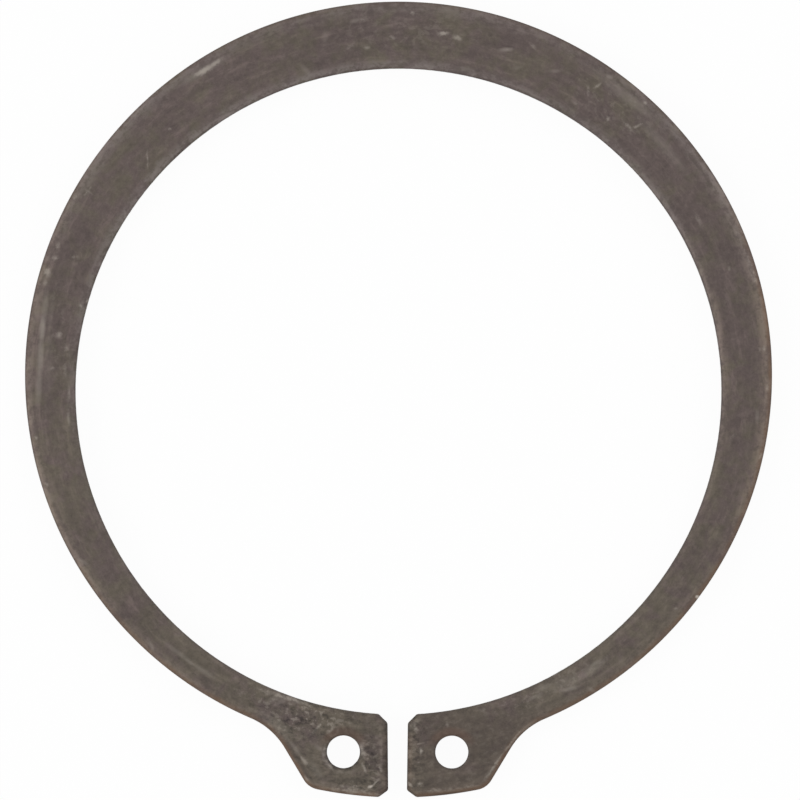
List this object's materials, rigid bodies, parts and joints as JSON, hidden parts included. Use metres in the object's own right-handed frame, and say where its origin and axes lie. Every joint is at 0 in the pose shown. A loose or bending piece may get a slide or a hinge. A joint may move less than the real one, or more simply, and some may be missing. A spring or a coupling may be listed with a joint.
{
  "type": "external retaining ring",
  "caption": "Flat spring-steel ring, split by a narrow gap between lugs with plier holes, that snaps into a shaft groove and stops parts sliding along the shaft.",
  "frame": {"origin": "centre of the free ring's bore, on its bottom face", "axes": "+Z along the shaft, out of the face with the rolled edges; the gap faces -Y"},
  "size_m": [0.0702, 0.0749, 0.0025],
  "materials": {
    "phosphated_spring_steel": "matt dark grey-brown phosphate, lightly oiled, with rubbed edges"
  },
  "bodies": {
    "root": {"retaining_ring": "phosphated_spring_steel"}
  },
  "joints": []
}
